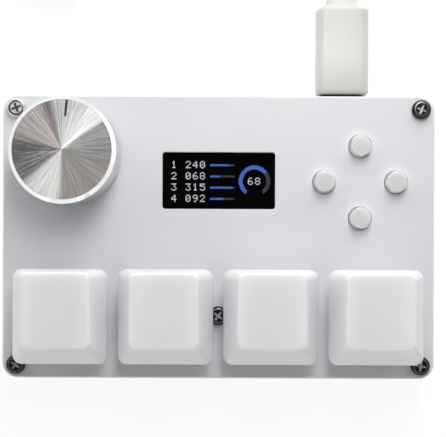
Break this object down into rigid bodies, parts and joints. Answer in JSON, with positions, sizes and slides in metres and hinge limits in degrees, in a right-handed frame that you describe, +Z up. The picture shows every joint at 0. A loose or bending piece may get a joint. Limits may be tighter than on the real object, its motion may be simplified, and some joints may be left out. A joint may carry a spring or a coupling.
{
  "type": "macro keypad",
  "caption": "Small white macro keypad with mechanical keys, a turned metal knob, a colour screen, a cross of round buttons and a white USB-C lead.",
  "frame": {"origin": "on the table under the middle of the case, lead not counted", "axes": "+X to the right as the user sees it, +Y to the back edge with the USB socket, +Z up"},
  "size_m": [0.0845, 0.1695, 0.0268],
  "materials": {
    "plate_white": "smooth satin white coat",
    "case_white": "fine matt white",
    "keycap_white": "fine matt, slightly worn smooth",
    "stem_white": "smooth",
    "switch_milky": "milky moulded",
    "knob_aluminium": "turned face, polished rim, satin side",
    "encoder_metal": "plated",
    "screw_black": "black oxide",
    "brass": "turned",
    "rubber_black": "soft",
    "board_white": "solder mask",
    "contact_metal": "plated",
    "part_black": "moulded",
    "steel": "bright plated",
    "screen_glass": "black glass over a lit panel",
    "holder_plastic": "moulded",
    "ribbon_amber": "polyimide film",
    "button_clear": "clear over white",
    "plug_white": "smooth moulded",
    "cord_white": "smooth soft jacket",
    "strap_grey": "hook-and-loop strap"
  },
  "bodies": {
    "base": {"top_plate": "plate_white", "bottom_case": "case_white", "case_screws": "screw_black", "threaded_inserts": "brass", "rubber_feet": "rubber_black", "main_pcb": "board_white", "switch_base_1": "switch_milky", "switch_top_1": "switch_milky", "switch_base_2": "switch_milky", "switch_top_2": "switch_milky", "switch_base_3": "switch_milky", "switch_top_3": "switch_milky", "switch_base_4": "switch_milky", "switch_top_4": "switch_milky", "switch_contacts": "contact_metal", "tact_switch_bodies": "part_black", "tact_switch_covers": "steel", "encoder_body": "encoder_metal", "encoder_bushing": "encoder_metal", "lcd_glass": "screen_glass", "lcd_frame": "holder_plastic", "lcd_flex": "ribbon_amber", "usb_socket_shell": "steel", "usb_socket_tongue": "part_black", "controller_chip": "part_black", "board_components": "part_black", "usb_plug_shell": "steel", "usb_plug_body": "plug_white", "usb_strain_relief": "cord_white", "cord_lead": "cord_white", "cord_coil": "cord_white", "cord_tail": "cord_white", "cord_tie": "strap_grey", "cord_end_plug_body": "plug_white", "cord_end_plug_shell": "steel", "cord_end_plug_insert": "part_black"},
    "key_1": {"keycap_1": "keycap_white", "switch_stem_1": "stem_white", "switch_spring_1": "steel"},
    "key_2": {"keycap_2": "keycap_white", "switch_stem_2": "stem_white", "switch_spring_2": "steel"},
    "key_3": {"keycap_3": "keycap_white", "switch_stem_3": "stem_white", "switch_spring_3": "steel"},
    "key_4": {"keycap_4": "keycap_white", "switch_stem_4": "stem_white", "switch_spring_4": "steel"},
    "button_up": {"button_cap_up": "button_clear", "tact_plunger_up": "part_black"},
    "button_left": {"button_cap_left": "button_clear", "tact_plunger_left": "part_black"},
    "button_right": {"button_cap_right": "button_clear", "tact_plunger_right": "part_black"},
    "button_down": {"button_cap_down": "button_clear", "tact_plunger_down": "part_black"},
    "knob_push": {"encoder_push_pad": "part_black"},
    "knob_turn": {"encoder_shaft": "encoder_metal", "knob": "knob_aluminium", "knob_grub_screw": "screw_black"}
  },
  "joints": [
    {"name": "key_1_press", "type": "slide", "parent": "base", "child": "key_1", "axis": [0, 0, -1], "range_m": [0, 0.004], "stiffness_N_per_m": 100, "springref_m": -0.0025, "deforming": ["switch_spring_1"]},
    {"name": "key_2_press", "type": "slide", "parent": "base", "child": "key_2", "axis": [0, 0, -1], "range_m": [0, 0.004], "stiffness_N_per_m": 100, "springref_m": -0.0025, "deforming": ["switch_spring_2"]},
    {"name": "key_3_press", "type": "slide", "parent": "base", "child": "key_3", "axis": [0, 0, -1], "range_m": [0, 0.004], "stiffness_N_per_m": 100, "springref_m": -0.0025, "deforming": ["switch_spring_3"]},
    {"name": "key_4_press", "type": "slide", "parent": "base", "child": "key_4", "axis": [0, 0, -1], "range_m": [0, 0.004], "stiffness_N_per_m": 100, "springref_m": -0.0025, "deforming": ["switch_spring_4"]},
    {"name": "button_up_press", "type": "slide", "parent": "base", "child": "button_up", "axis": [0, 0, -1], "range_m": [0, 0.00025], "stiffness_N_per_m": 800},
    {"name": "button_left_press", "type": "slide", "parent": "base", "child": "button_left", "axis": [0, 0, -1], "range_m": [0, 0.00025], "stiffness_N_per_m": 800},
    {"name": "button_right_press", "type": "slide", "parent": "base", "child": "button_right", "axis": [0, 0, -1], "range_m": [0, 0.00025], "stiffness_N_per_m": 800},
    {"name": "button_down_press", "type": "slide", "parent": "base", "child": "button_down", "axis": [0, 0, -1], "range_m": [0, 0.00025], "stiffness_N_per_m": 800},
    {"name": "knob_push_in", "type": "slide", "parent": "base", "child": "knob_push", "axis": [0, 0, -1], "range_m": [0, 0.0005], "stiffness_N_per_m": 5000, "springref_m": -0.0002},
    {"name": "knob_rotation", "type": "hinge", "parent": "knob_push", "child": "knob_turn", "pos_m": [-0.029, 0.01585, 0.0126], "axis": [0, 0, 1], "continuous": true}
  ]
}
